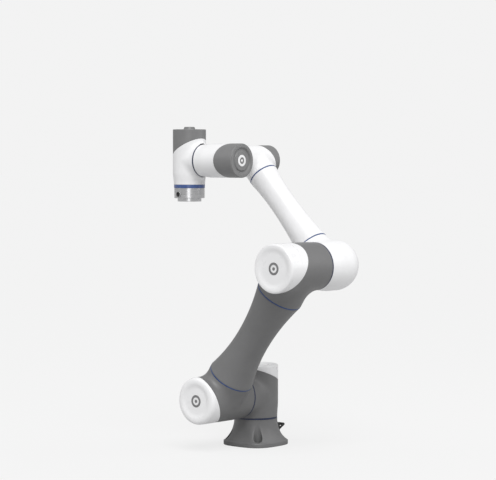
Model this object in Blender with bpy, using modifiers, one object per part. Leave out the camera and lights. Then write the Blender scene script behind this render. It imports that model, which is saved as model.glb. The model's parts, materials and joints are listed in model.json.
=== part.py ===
"""Six-axis collaborative robot arm, standing on its base with the tool flange hanging down.

Frame: +Z up, origin at the centre of the base's underside, on the axis of joint 1. The shoulder
joint reaches towards -Y, the elbow leans towards +X and the tool hangs on the -X side.
Every joint unit is modelled in its own knuckle frame: the origin is where the joint's axis crosses
the branch that leads to the next link, local Z runs towards the cover and local X along the branch.
"""
from collections import namedtuple
from math import atan, cos, pi, radians, sin

import bmesh
import bpy
from mathutils import Matrix, Vector

# ---- Link geometry (metres, radians) ---------------------------------------------------------
SHOULDER_HEIGHT = 0.133
UPPER_ARM_LENGTH = 0.427
FOREARM_LENGTH = 0.357
UPPER_ARM_LEAN = radians(36.6)
FOREARM_LEAN = radians(42.8)
UPPER_ARM_PLANE = -0.147
FOREARM_PLANE = -0.025
TOOL_PLANE = -0.141
WRIST_2_REACH = 0.116
FLANGE_DROP = 0.105

# ---- Shared sizes ----------------------------------------------------------------------------
WALL = 0.0035
COVER_WALL = 0.0025
GAP = 0.0003
SEAL_HALF = 0.002
TRIM_HALF = 0.0015
TRIM_DEPTH = 0.005
SHELL_STEPS = 24
INNER_STEPS = 16
FACET = cos(pi / SHELL_STEPS)

# ---- Derived places --------------------------------------------------------------------------
UPPER_ARM_DIRECTION = Vector((sin(UPPER_ARM_LEAN), 0, cos(UPPER_ARM_LEAN)))
FOREARM_DIRECTION = Vector((-sin(FOREARM_LEAN), 0, cos(FOREARM_LEAN)))
SHOULDER = Vector((0, 0, SHOULDER_HEIGHT))
ELBOW = SHOULDER + UPPER_ARM_LENGTH * UPPER_ARM_DIRECTION
WRIST = ELBOW + FOREARM_LENGTH * FOREARM_DIRECTION
TOOL_AXIS_X = WRIST.x - WRIST_2_REACH
FLANGE_FACE = WRIST.z - FLANGE_DROP
X_AXIS, Y_AXIS, Z_AXIS = Vector((1, 0, 0)), Vector((0, 1, 0)), Vector((0, 0, 1))

# One row per joint unit. ring_z, split_z and cover_z are heights along the joint's axis in the
# knuckle frame: the moving seam, the slanted seam of the cover at the axis, and the cover's rim.
Joint = namedtuple("Joint", "number point cover_way branch_way radius ring_radius ring_z ring_half "
                            "split_z split_slope cover_z branch_length branch_radius")


def at_plane(point, plane):
    """The same place moved along Y into the plane of its link."""
    return Vector((point.x, plane, point.z))


JOINTS = [
    Joint(1, SHOULDER, Z_AXIS, -Y_AXIS, 0.0580, 0.0560,
          -0.0615, SEAL_HALF, 0.0495, 0.40, 0.0765, 0.0690, 0.0588),
    Joint(2, at_plane(SHOULDER, UPPER_ARM_PLANE), -Y_AXIS, UPPER_ARM_DIRECTION, 0.0600, 0.0592,
          -0.0757, SEAL_HALF, 0.0474, 0.57, 0.0875, 0.0725, 0.0590),
    Joint(3, at_plane(ELBOW, UPPER_ARM_PLANE), -Y_AXIS, -UPPER_ARM_DIRECTION, 0.0610, 0.0600,
          -0.0732, SEAL_HALF, 0.0505, 0.57, 0.0875, 0.0840, 0.0603),
    Joint(4, at_plane(WRIST, FOREARM_PLANE), Y_AXIS, -FOREARM_DIRECTION, 0.0395, 0.0407,
          -0.0686, SEAL_HALF, 0.0280, 0.57, 0.0625, 0.0502, 0.0385),
    Joint(5, at_plane(WRIST, TOOL_PLANE), X_AXIS, Y_AXIS, 0.0433, 0.0410,
          -0.0686, SEAL_HALF, 0.0280, 0.57, 0.0632, 0.0451, 0.0410),
    Joint(6, Vector((TOOL_AXIS_X, TOOL_PLANE, WRIST.z)), Z_AXIS, X_AXIS, 0.0425, 0.0400,
          -0.0659, 0.00425, 0.0327, 0.57, 0.080, 0.0451, 0.0412),
]
HOUSING_NAMES = ["shoulder_housing", "upper_arm_lower_housing", "upper_arm_upper_housing",
                 "wrist_1_housing", "wrist_2_housing", "wrist_3_housing"]
COVER_NAMES = ["shoulder_top_cover", "shoulder_side_cover", "elbow_cover",
               "wrist_1_cover", "wrist_2_cover", "wrist_3_cover"]

# ---- Materials: base colour, roughness, metallic ---------------------------------------------
FINISHES = {
    "grey_paint": ((0.150, 0.150, 0.152), 0.45, 0.0),
    "white_paint": ((0.800, 0.800, 0.800), 0.30, 0.0),
    "grey_cover": ((0.180, 0.180, 0.182), 0.40, 0.0),
    "white_cover": ((0.780, 0.780, 0.780), 0.30, 0.0),
    "navy_seal": ((0.015, 0.025, 0.070), 0.50, 0.0),
    "blue_light": ((0.050, 0.110, 0.350), 0.35, 0.0),
    "flange_metal": ((0.600, 0.600, 0.610), 0.32, 1.0),
    "black_plastic": ((0.012, 0.012, 0.013), 0.45, 0.0),
    "gear_steel": ((0.450, 0.450, 0.460), 0.30, 1.0),
    "winding_copper": ((0.550, 0.240, 0.110), 0.40, 1.0),
    "rotor_steel": ((0.250, 0.250, 0.270), 0.35, 1.0),
    "circuit_green": ((0.020, 0.120, 0.050), 0.50, 0.0),
}


def clear_scene():
    """Start from an empty file."""
    for old in list(bpy.data.objects):
        bpy.data.objects.remove(old, do_unlink=True)


def new_collection(name):
    """A collection linked to the scene."""
    collection = bpy.data.collections.new(name)
    bpy.context.scene.collection.children.link(collection)
    return collection


def finish_material(name):
    """The Principled material of one finish, made on first use."""
    if name in bpy.data.materials:
        return bpy.data.materials[name]
    colour, roughness, metallic = FINISHES[name]
    material = bpy.data.materials.new(name)
    material.use_nodes = True
    shader = material.node_tree.nodes["Principled BSDF"]
    shader.inputs["Base Color"].default_value = (*colour, 1)
    shader.inputs["Roughness"].default_value = roughness
    shader.inputs["Metallic"].default_value = metallic
    return material


clear_scene()
PARTS = new_collection("collaborative_robot_arm")
CUTTERS = new_collection("cutters")


def axis_frame(origin, z_way, x_way):
    """World matrix with its origin at a point, Z along one direction and X along another."""
    z, x = z_way.normalized(), x_way.normalized()
    return Matrix.Translation(origin) @ Matrix((x, z.cross(x), z)).transposed().to_4x4()


def frame_empty(name, matrix):
    """An empty that carries the pieces of one joint or link."""
    empty = bpy.data.objects.new(name, None)
    empty.matrix_world = matrix
    PARTS.objects.link(empty)
    return empty


def place(name, mesh, empty, local, finish):
    """Put a mesh on an empty: a piece with a finish, or a hidden cutter without one."""
    piece = bpy.data.objects.new(name, mesh)
    piece.parent = empty
    piece.matrix_local = local
    if finish:
        PARTS.objects.link(piece)
        mesh.materials.append(finish_material(finish))
    else:
        CUTTERS.objects.link(piece)
        piece.hide_render = True
        piece.display_type = "WIRE"
    return piece


def turned(name, outline, empty, finish=None, local=Matrix(), steps=SHELL_STEPS, ring=False):
    """A turned piece: the outline (radius, height) runs down its outer side, ring closes the loop."""
    mesh = bpy.data.meshes.new(name)
    edges = [(i, i + 1) for i in range(len(outline) - 1)]
    if ring:
        edges.append((len(outline) - 1, 0))
    mesh.from_pydata([(radius, 0, height) for radius, height in outline], edges, [])
    piece = place(name, mesh, empty, local, finish)
    screw = piece.modifiers.new("turn", "SCREW")
    screw.axis = "Z"
    screw.steps = screw.render_steps = steps
    screw.use_merge_vertices = True
    screw.merge_threshold = 0.00001
    screw.use_smooth_shade = True
    return piece


def rod(name, radius, low, high, empty, local=Matrix(), steps=SHELL_STEPS):
    """A plain round cutter between two heights."""
    return turned(name, [(0, high), (radius, high), (radius, low), (0, low)], empty, None, local, steps)


def washer(name, inner, outer, low, high, empty, finish, local=Matrix(), steps=SHELL_STEPS):
    """A flat ring between two radii and two heights."""
    outline = [(inner, high), (outer, high), (outer, low), (inner, low)]
    return turned(name, outline, empty, finish, local, steps, ring=True)


def box(name, size, empty, local, finish=None, bevel=0.0):
    """A box of the given size, centred on its own origin, with rounded edges where asked."""
    mesh = bpy.data.meshes.new(name)
    shape = bmesh.new()
    bmesh.ops.create_cube(shape, size=1.0, matrix=Matrix.Diagonal((*size, 1)))
    shape.to_mesh(mesh)
    shape.free()
    piece = place(name, mesh, empty, local, finish)
    if bevel:
        edge = piece.modifiers.new("edge", "BEVEL")
        edge.width = bevel
        edge.segments = 2
    return piece


def combine(target, tool, operation):
    """Join, cut or keep the common part of two solids."""
    boolean = target.modifiers.new(tool.name, "BOOLEAN")
    boolean.operation = operation
    boolean.object = tool


def cover_side(name, joint, empty, above):
    """A block whose face is the slanted seam of a joint's cover, filling one side of it."""
    reach = 0.4
    shift = (reach / 2 - GAP / 2) if above else -(reach / 2 - GAP / 2)
    local = (Matrix.Translation((0, 0, joint.split_z)) @ Matrix.Rotation(-atan(joint.split_slope), 4, "Y")
             @ Matrix.Translation((0, 0, shift)))
    return box(name, (reach, reach, reach), empty, local)


def sideways():
    """Local matrix that turns a piece's Z along the branch."""
    return Matrix.Rotation(pi / 2, 4, "Y")


def joint_housing(name, joint, empty, finish):
    """T-shaped casting: a round barrel on the joint's axis with a branch to the next link."""
    bottom = joint.ring_z + joint.ring_half + GAP
    top = joint.cover_z
    taper = joint.ring_z + 0.5 * joint.radius
    barrel = turned(name, [(0, top), (joint.radius, top), (joint.radius, taper),
                           (joint.ring_radius, bottom), (0, bottom)], empty, finish)
    branch = turned(name + ".branch", [(0, joint.branch_length), (joint.branch_radius, joint.branch_length),
                                       (joint.branch_radius, 0.5 * joint.radius),
                                       (joint.branch_radius * 0.95, 0.001), (0, 0.001)],
                    empty, None, sideways())
    combine(barrel, branch, "UNION")
    combine(barrel, cover_side(name + ".seam", joint, empty, above=True), "DIFFERENCE")
    bore = turned(name + ".bore", [(0, top + 0.01), (joint.radius - WALL, top + 0.01),
                                   (joint.radius - WALL, taper), (joint.ring_radius - WALL, bottom),
                                   (joint.ring_radius - WALL, bottom - 0.01), (0, bottom - 0.01)], empty)
    combine(barrel, bore, "DIFFERENCE")
    branch_bore = rod(name + ".branch_bore", joint.branch_radius - WALL, 0.0,
                      joint.branch_length + 0.01, empty, sideways())
    combine(barrel, branch_bore, "DIFFERENCE")


def joint_cover(name, joint, empty, finish, face_outline):
    """Cup that closes a joint unit: the outline of its face, then a skirt down to the slanted seam."""
    skirt = joint.split_z - joint.split_slope * joint.radius - 0.004
    inner = joint.radius - COVER_WALL
    ceiling = joint.cover_z - 0.012
    outline = [(radius, joint.cover_z + height) for radius, height in face_outline]
    outline += [(joint.radius, skirt), (inner, skirt), (inner, ceiling), (0, ceiling)]
    cup = turned(name, outline, empty, finish)
    combine(cup, cover_side(name + ".seam", joint, empty, above=False), "DIFFERENCE")


def dished_face(radius):
    """Face of the large white covers: a broad rounded rim around a shallow dish."""
    return [(0, -0.0025), (0.60 * radius, -0.0025), (0.80 * radius, -0.0002), (0.86 * radius, 0.0),
            (0.96 * radius, -0.0025), (radius, -0.0085)]


def grooved_face(radius):
    """Face of the small grey covers: a flat rim, a groove and a flat centre."""
    return [(0, -0.0010), (0.58 * radius, -0.0010), (0.68 * radius, -0.0035), (0.80 * radius, 0.0),
            (0.94 * radius, 0.0), (radius, -0.0020)]


def raised_face(radius):
    """Face of the tool-side cover: a flat rim around a raised round centre."""
    return [(0, 0.0065), (0.26 * radius, 0.0060), (0.38 * radius, 0.0010), (0.94 * radius, 0.0),
            (radius, -0.0015)]


def joint_inner_parts(joint, empty):
    """The strain-wave gear, motor and drive board that sit inside a joint unit."""
    label = f"joint_{joint.number}_"
    size, base = min(joint.radius, joint.ring_radius), joint.ring_z
    bore = (size - WALL) * FACET - 0.0006
    if joint.number < 6:
        outline = [(0.20 * size, base + 0.012), (0.62 * size, base + 0.012), (0.62 * size, base - 0.003),
                   (bore, base - 0.003), (bore, base - 0.009), (0.20 * size, base - 0.009)]
        turned(label + "output_hub", outline, empty, "gear_steel", steps=INNER_STEPS, ring=True)
    washer(label + "gear_unit", 0.66 * size, 0.90 * size, base + 0.006, base + 0.030, empty,
           "gear_steel", steps=INNER_STEPS)
    shaft_end = joint.cover_z - 0.036
    rotor = [(0.16 * size, shaft_end), (0.23 * size, shaft_end), (0.23 * size, base + 0.050),
             (0.48 * size, base + 0.050), (0.48 * size, base + 0.034), (0.23 * size, base + 0.034),
             (0.46 * size, base + 0.026), (0.46 * size, base + 0.015), (0.16 * size, base + 0.015)]
    turned(label + "motor_rotor", rotor, empty, "rotor_steel", steps=INNER_STEPS, ring=True)
    washer(label + "motor_stator", 0.53 * size, 0.82 * size, base + 0.032, base + 0.052, empty,
           "winding_copper", steps=INNER_STEPS)
    board = joint.cover_z - 0.030
    washer(label + "drive_board", 0.20 * size, 0.80 * size, board, board + 0.0016, empty,
           "circuit_green", steps=INNER_STEPS)


def joint_units():
    """The six joint units, each on its own empty."""
    housing_finish = ["grey_paint"] * 3 + ["white_paint"] * 3
    cover_finish = ["white_cover"] * 3 + ["grey_cover"] * 3
    faces = [dished_face, dished_face, dished_face, grooved_face, grooved_face, raised_face]
    for index, joint in enumerate(JOINTS):
        empty = frame_empty(f"joint_{joint.number}_frame",
                            axis_frame(joint.point, joint.cover_way, joint.branch_way))
        joint_housing(HOUSING_NAMES[index], joint, empty, housing_finish[index])
        joint_cover(COVER_NAMES[index], joint, empty, cover_finish[index], faces[index](joint.radius))
        joint_inner_parts(joint, empty)
        name = "status_light_ring" if joint.number == 6 else f"joint_{joint.number}_seal"
        finish = "blue_light" if joint.number == 6 else "navy_seal"
        washer(name, joint.ring_radius - WALL, joint.ring_radius, joint.ring_z - joint.ring_half,
               joint.ring_z + joint.ring_half, empty, finish)


# ---- Arm tubes -------------------------------------------------------------------------------
def tube_with_trims(link, start, end, start_radius, waist_radius, end_radius, waist_share, empty, finish):
    """A waisted tube along the link's Z axis, with a trim ring in the seam at each of its ends."""
    rows = 7
    low, high = start + TRIM_HALF + GAP, end - TRIM_HALF - GAP
    waist = low + waist_share * (high - low)
    outline = []
    for row in range(rows + 1):
        height = high + (low - high) * row / rows
        share = (height - waist) / (high - waist) if height > waist else (waist - height) / (waist - low)
        end_size = end_radius if height > waist else start_radius
        outline.append((waist_radius + (end_size - waist_radius) * share ** 2, height))
    inner = [(radius - WALL, height) for radius, height in reversed(outline)]
    turned(link + "_tube", outline + inner, empty, finish, ring=True)
    washer(link + "_lower_trim", start_radius - TRIM_DEPTH, start_radius, start - TRIM_HALF,
           start + TRIM_HALF, empty, "navy_seal")
    washer(link + "_upper_trim", end_radius - TRIM_DEPTH, end_radius, end - TRIM_HALF,
           end + TRIM_HALF, empty, "navy_seal")


def upper_arm():
    """The dark tube between the shoulder and the elbow."""
    empty = frame_empty("upper_arm_frame", axis_frame(JOINTS[1].point, UPPER_ARM_DIRECTION, Y_AXIS))
    start = JOINTS[1].branch_length + GAP + TRIM_HALF
    end = UPPER_ARM_LENGTH - JOINTS[2].branch_length - GAP - TRIM_HALF
    tube_with_trims("upper_arm", start, end, JOINTS[1].branch_radius, 0.0424,
                    JOINTS[2].branch_radius, 0.46, empty, "grey_paint")


ELBOW_RADIUS = 0.0640
ELBOW_BRANCH_RADIUS = 0.0425
ELBOW_BRANCH_LENGTH = 0.0670
ELBOW_DOME_START = 0.0300
ELBOW_DOME = 0.0880


def elbow_housing():
    """The domed white housing that turns on joint 3 and carries the forearm tube."""
    empty = frame_empty("elbow_frame", axis_frame(at_plane(ELBOW, FOREARM_PLANE), Y_AXIS, FOREARM_DIRECTION))
    seam = JOINTS[2].point.y + JOINTS[2].cover_way.y * JOINTS[2].ring_z
    bottom = seam - FOREARM_PLANE + SEAL_HALF + GAP
    dome = [(ELBOW_RADIUS * sin(turn), ELBOW_DOME_START + (ELBOW_DOME - ELBOW_DOME_START) * cos(turn))
            for turn in (radians(angle) for angle in (0, 18, 36, 54, 72, 90))]
    body = turned("elbow_housing", dome + [(JOINTS[2].ring_radius, bottom), (0, bottom)], empty, "white_paint")
    branch = turned("elbow_housing.branch",
                    [(0, ELBOW_BRANCH_LENGTH), (ELBOW_BRANCH_RADIUS, ELBOW_BRANCH_LENGTH),
                     (ELBOW_BRANCH_RADIUS, 0.001), (0, 0.001)], empty, None, sideways())
    combine(body, branch, "UNION")
    bore = turned("elbow_housing.bore",
                  [(0, ELBOW_DOME - 0.008), (0.026, ELBOW_DOME - 0.014), (0.047, 0.060),
                   (ELBOW_RADIUS - WALL, 0.033), (JOINTS[2].ring_radius - WALL, bottom),
                   (JOINTS[2].ring_radius - WALL, bottom - 0.01), (0, bottom - 0.01)], empty)
    combine(body, bore, "DIFFERENCE")
    combine(body, rod("elbow_housing.branch_bore", ELBOW_BRANCH_RADIUS - WALL, 0.0,
                      ELBOW_BRANCH_LENGTH + 0.01, empty, sideways()), "DIFFERENCE")


def forearm():
    """The white tube between the elbow and the wrist."""
    empty = frame_empty("forearm_frame",
                        axis_frame(at_plane(ELBOW, FOREARM_PLANE), FOREARM_DIRECTION, Y_AXIS))
    start = ELBOW_BRANCH_LENGTH + GAP + TRIM_HALF
    end = FOREARM_LENGTH - JOINTS[3].branch_length - GAP - TRIM_HALF
    tube_with_trims("forearm", start, end, ELBOW_BRANCH_RADIUS, 0.0328, JOINTS[3].branch_radius,
                    0.62, empty, "white_paint")


# ---- Tool end --------------------------------------------------------------------------------
FLANGE_RADIUS = 0.0305
SLEEVE_RADIUS = 0.039
SLEEVE_BOTTOM = 0.0085
BOLT_CIRCLE_RADIUS = 0.025
BOLT_HOLE_RADIUS = 0.0025
DOWEL_HOLE_RADIUS = 0.003
RECESS_RADIUS = 0.01575


def tool_end():
    """The plate that tools bolt to, the sleeve around it and the round signal socket."""
    joint = JOINTS[5]
    empty = frame_empty("tool_frame", Matrix.Translation((TOOL_AXIS_X, TOOL_PLANE, FLANGE_FACE)))
    seam = FLANGE_DROP + joint.ring_z - joint.ring_half - GAP
    hub_top = FLANGE_DROP + joint.ring_z + 0.012
    hub_radius = 0.62 * joint.ring_radius
    bore = 0.20 * joint.ring_radius
    plate = turned("tool_flange_plate",
                   [(bore, hub_top), (hub_radius, hub_top), (hub_radius, 0.013), (FLANGE_RADIUS, 0.013),
                    (FLANGE_RADIUS, 0.0005), (FLANGE_RADIUS - 0.0005, 0.0), (RECESS_RADIUS, 0.0),
                    (RECESS_RADIUS, 0.006), (bore, 0.006)], empty, "flange_metal", ring=True)
    for quarter in range(4):
        angle = radians(45 + 90 * quarter)
        local = Matrix.Translation((BOLT_CIRCLE_RADIUS * cos(angle), BOLT_CIRCLE_RADIUS * sin(angle), 0))
        combine(plate, rod(f"bolt_hole_{quarter + 1}", BOLT_HOLE_RADIUS, -0.005, 0.010, empty, local, 10),
                "DIFFERENCE")
    dowel = Matrix.Translation((0, -BOLT_CIRCLE_RADIUS, 0))
    combine(plate, rod("dowel_hole", DOWEL_HOLE_RADIUS, -0.005, 0.008, empty, dowel, 10), "DIFFERENCE")

    sleeve = washer("flange_sleeve", FLANGE_RADIUS + 0.0006, SLEEVE_RADIUS, SLEEVE_BOTTOM, seam,
                    empty, "flange_metal")
    socket_height = 0.0185
    facing = radians(-94)
    socket_frame = (Matrix.Rotation(facing, 4, "Z") @ Matrix.Translation((0, 0, socket_height))
                    @ Matrix.Rotation(pi / 2, 4, "Y"))
    seat = rod("socket_seat", 0.0088, 0.0345, 0.05, empty, socket_frame, 16)
    combine(sleeve, seat, "DIFFERENCE")
    turned("tool_socket", [(0.0062, 0.0405), (0.0084, 0.0405), (0.0084, 0.0349), (0, 0.0349),
                           (0, 0.0385), (0.0062, 0.0385)],
           empty, "black_plastic", socket_frame, INNER_STEPS, ring=True)


# ---- Base ------------------------------------------------------------------------------------
# height, radius towards a corner, squareness exponent of the section
BASE_SECTIONS = [(0.0, 0.0840, 3.2), (0.0090, 0.0840, 3.2), (0.0112, 0.0820, 3.2), (0.0200, 0.0745, 2.9),
                 (0.0340, 0.0645, 2.5), (0.0520, 0.0583, 2.15), (0.0692, 0.0560, 2.0)]
BASE_FACETS = 40
BOLT_RADIUS = 0.0675
FOOT_THICKNESS = 0.010


def base_section(height, corner_radius, squareness):
    """Points of a rounded-square section with its corners on the diagonals."""
    half_side = corner_radius / 2 ** (0.5 - 1 / squareness)
    points = []
    for step in range(BASE_FACETS):
        angle = 2 * pi * (step + 0.5) / BASE_FACETS
        spread = (abs(cos(angle)) ** squareness + abs(sin(angle)) ** squareness) ** (1 / squareness)
        points.append((half_side * cos(angle) / spread, half_side * sin(angle) / spread, height))
    return points


def base_housing(empty):
    """Cast foot: a round neck that flares into a rounded-square flange with four bolt pockets."""
    mesh = bpy.data.meshes.new("base_housing")
    shape = bmesh.new()
    rings = [[shape.verts.new(point) for point in base_section(*section)] for section in BASE_SECTIONS]
    for lower, upper in zip(rings, rings[1:]):
        for step in range(BASE_FACETS):
            after = (step + 1) % BASE_FACETS
            shape.faces.new((lower[step], lower[after], upper[after], upper[step]))
    shape.faces.new(list(reversed(rings[0])))
    shape.faces.new(rings[-1])
    shape.to_mesh(mesh)
    shape.free()
    base = place("base_housing", mesh, empty, Matrix(), "grey_paint")
    neck_bore = JOINTS[0].ring_radius - WALL
    combine(base, rod("base_housing.bore", neck_bore, 0.014, 0.09, empty), "DIFFERENCE")
    for quarter in range(4):
        angle = radians(45 + 90 * quarter)
        local = Matrix.Translation((BOLT_RADIUS * cos(angle), BOLT_RADIUS * sin(angle), 0))
        pocket = turned(f"bolt_pocket_{quarter + 1}",
                        [(0, 0.075), (0.0108, 0.075), (0.0114, FOOT_THICKNESS), (0.0048, FOOT_THICKNESS),
                         (0.0048, -0.01), (0, -0.01)], empty, None, local, 14)
        combine(base, pocket, "DIFFERENCE")
    return base


CONNECTOR_SIZE = (0.0300, 0.0265, 0.0340)
CONNECTOR_BACK = 0.0545
CONNECTOR_BOTTOM = 0.0150
LEVER_PIVOT = (0.0, 0.0730, 0.0330)
LEVER_ARM_LENGTH = 0.0235
LEVER_ARM_SIZE = 0.0055
LEVER_RISE = radians(28)


def base_connector(base, empty):
    """The supply and signal connector on the back of the base, with its locking lever."""
    width, depth, height = CONNECTOR_SIZE
    centre = Vector((0, CONNECTOR_BACK + depth / 2, CONNECTOR_BOTTOM + height / 2))
    clearance = Vector((width + 2 * GAP, depth + 2 * GAP, height + 2 * GAP))
    combine(base, box("connector_recess", clearance, empty, Matrix.Translation(centre)), "DIFFERENCE")
    housing = box("base_connector", CONNECTOR_SIZE, empty, Matrix.Translation(centre), "black_plastic")
    mouth = box("connector_mouth", (0.021, 0.024, 0.023), empty,
                Matrix.Translation((0, CONNECTOR_BACK + depth, centre.z)))
    combine(housing, mouth, "DIFFERENCE")
    pivot = Matrix.Translation(LEVER_PIVOT)
    crosswise = Matrix.Rotation(pi / 2, 4, "Y")
    pin_reach = width / 2 - 0.0022
    for side in (-1, 1):
        start, end = sorted((side * pin_reach, side * (width / 2 + 0.01)))
        hole = rod(f"pivot_hole_{side + 2}", 0.0026, start, end, empty, pivot @ crosswise, 12)
        combine(housing, hole, "DIFFERENCE")

    lever_empty = frame_empty("lever_frame", pivot @ Matrix.Rotation(LEVER_RISE, 4, "X"))
    arm_thickness = 0.0025
    arm_centre = width / 2 + 0.0006 + arm_thickness / 2
    span = 2 * arm_centre + arm_thickness
    lever = box("connector_lever", (span, LEVER_ARM_SIZE, LEVER_ARM_SIZE), lever_empty,
                Matrix.Translation((0, LEVER_ARM_LENGTH, 0)), "black_plastic")
    for side in (-1, 1):
        arm = box(f"lever_arm_{side + 2}", (arm_thickness, LEVER_ARM_LENGTH + 0.006, LEVER_ARM_SIZE),
                  lever_empty, Matrix.Translation((side * arm_centre, LEVER_ARM_LENGTH / 2 - 0.002, 0)))
        combine(lever, arm, "UNION")
        start, end = sorted((side * (pin_reach + 0.0004), side * arm_centre))
        pin = rod(f"lever_pin_{side + 2}", 0.0020, start, end, lever_empty, crosswise, 10)
        combine(lever, pin, "UNION")


def base():
    """Everything that stays still: the foot and its connector."""
    empty = frame_empty("base_frame", Matrix())
    base_connector(base_housing(empty), empty)


base()
joint_units()
upper_arm()
elbow_housing()
forearm()
tool_end()
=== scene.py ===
"""Looks of the collaborative robot arm: smooth castings, moulded covers, seals, metal flange, studio.

A casting is meshed from a field, which is negative inside it, in the knuckle frame of its joint: local
Z runs along the joint's axis towards the unit's cover and local X along the branch to the next link.
Covers, tubes, rings and the tool end are turned from outlines. All sizes are in metres.
"""
import json
from math import cos, pi, radians, sin, sqrt

import bmesh
import bpy
import numpy as np
from mathutils import Matrix, Vector


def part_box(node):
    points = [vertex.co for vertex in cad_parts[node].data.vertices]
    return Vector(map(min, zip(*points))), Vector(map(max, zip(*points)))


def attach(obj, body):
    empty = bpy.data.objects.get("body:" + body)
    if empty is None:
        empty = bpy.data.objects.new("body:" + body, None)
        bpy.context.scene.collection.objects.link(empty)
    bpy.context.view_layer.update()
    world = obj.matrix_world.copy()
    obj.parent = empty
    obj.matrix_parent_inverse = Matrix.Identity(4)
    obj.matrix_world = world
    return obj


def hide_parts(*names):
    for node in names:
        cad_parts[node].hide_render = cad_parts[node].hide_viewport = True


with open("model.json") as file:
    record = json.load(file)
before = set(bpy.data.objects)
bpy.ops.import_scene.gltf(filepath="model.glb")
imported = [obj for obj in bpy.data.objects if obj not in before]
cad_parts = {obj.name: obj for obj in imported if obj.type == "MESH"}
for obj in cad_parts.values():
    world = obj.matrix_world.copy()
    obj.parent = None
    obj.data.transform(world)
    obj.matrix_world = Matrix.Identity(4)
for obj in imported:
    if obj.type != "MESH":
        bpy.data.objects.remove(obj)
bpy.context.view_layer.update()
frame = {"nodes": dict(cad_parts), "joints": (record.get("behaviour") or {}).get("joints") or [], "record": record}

# ---- Places read from the frame --------------------------
RECORD = frame["record"]
BODY_OF = {node: body for body, nodes in RECORD["behaviour"]["bodies"].items() for node in nodes}
SLOT_OF = {row["node"]: row["material_slot"] for row in RECORD["subparts"]}
AXIS_POINT = {int(joint["name"].split("_")[1]): Vector(joint["pos_m"]) for joint in frame["joints"]
              if joint["name"].startswith("joint_") and not joint["name"].endswith("spin")}
X_AXIS, Y_AXIS, Z_AXIS = Vector((1, 0, 0)), Vector((0, 1, 0)), Vector((0, 0, 1))


def middle(node):
    """Centre of a CAD node's box."""
    low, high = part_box(node)
    return (low + high) / 2


def at_plane(point, plane):
    """The same place moved along Y into the plane of its link."""
    return Vector((point.x, plane, point.z))


UPPER_ARM_PLANE = middle("upper_arm_tube").y
FOREARM_PLANE = middle("forearm_tube").y
TOOL_PLANE = AXIS_POINT[5].y
SHOULDER, ELBOW, WRIST = AXIS_POINT[2], AXIS_POINT[3], AXIS_POINT[4]
UPPER_ARM_WAY = (at_plane(ELBOW, 0) - at_plane(SHOULDER, 0)).normalized()
FOREARM_WAY = (at_plane(WRIST, 0) - at_plane(ELBOW, 0)).normalized()
PIVOT = next(Vector(joint["pos_m"]) for joint in frame["joints"] if joint["name"] == "connector_lever_swing")
TOOL_AXIS = AXIS_POINT[6]

# ---- Sizes shared by the visible shells ------------------
CAST_WALL = 0.0032
COVER_WALL = 0.0024
LIP = 0.0004
SEAM = 0.00025
SEAL_HALF = 0.002
TRIM_HALF = 0.0015
RING_SUNK = 0.00015
BIG_CELL = 0.0030
SMALL_CELL = 0.0022
BASE_CELL = 0.0020
SHARP_ANGLE = radians(38)
TURNS = 144

# Faces of the covers as corners: share of the cover's radius, height from its rim, rounding.
DISH_DEPTH = 0.0028
GROOVE_STEP = 0.0008
RAISED_CENTRE = 0.0065
DISHED_FACE = [(0, -DISH_DEPTH, 0), (0.66, -DISH_DEPTH, 0.0045), (0.83, 0.0, 0.0028), (1.0, 0.0, 0.0058)]
ROUND_DISHED_FACE = [(0, -DISH_DEPTH, 0), (0.58, -DISH_DEPTH, 0.0042), (0.74, 0.0, 0.0030),
                     (1.0, 0.0, 0.0120)]
GROOVED_FACE = [(0, -GROOVE_STEP, 0), (0.58, -GROOVE_STEP, 0.0008), (0.64, -0.0034, 0.0010),
                (0.70, -0.0034, 0.0010), (0.78, 0.0, 0.0010), (1.0, 0.0, 0.0026)]
RAISED_FACE = [(0, RAISED_CENTRE, 0), (0.30, RAISED_CENTRE, 0.0016), (0.36, 0.0004, 0.0014),
               (1.0, 0.0, 0.0022)]


class Unit:
    """One joint unit: its knuckle frame and the sizes that its shells share."""

    def __init__(self, number, point, cover_way, branch_way, sizes, names, fillet, face,
                 ring_half=SEAL_HALF, raised=0.0):
        self.number, self.ring_half, self.fillet, self.face = number, ring_half, fillet, face
        self.cover, self.housing = names
        (self.radius, self.ring_radius, self.split, self.slope, self.branch_length,
         self.branch_radius) = sizes
        z, x = cover_way.normalized(), branch_way.normalized()
        self.matrix = Matrix.Translation(point) @ Matrix((x, z.cross(x), z)).transposed().to_4x4()
        self.ring_z = (AXIS_POINT[number] - point).dot(z)
        low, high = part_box(self.cover)
        self.rim = max((low - point).dot(z), (high - point).dot(z)) - raised

    @property
    def bottom(self):
        """Height of the casting's moving seam."""
        return self.ring_z + self.ring_half + SEAM

    @property
    def large(self):
        """True for the dark units of the base, the shoulder and the elbow."""
        return self.number <= 3


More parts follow.
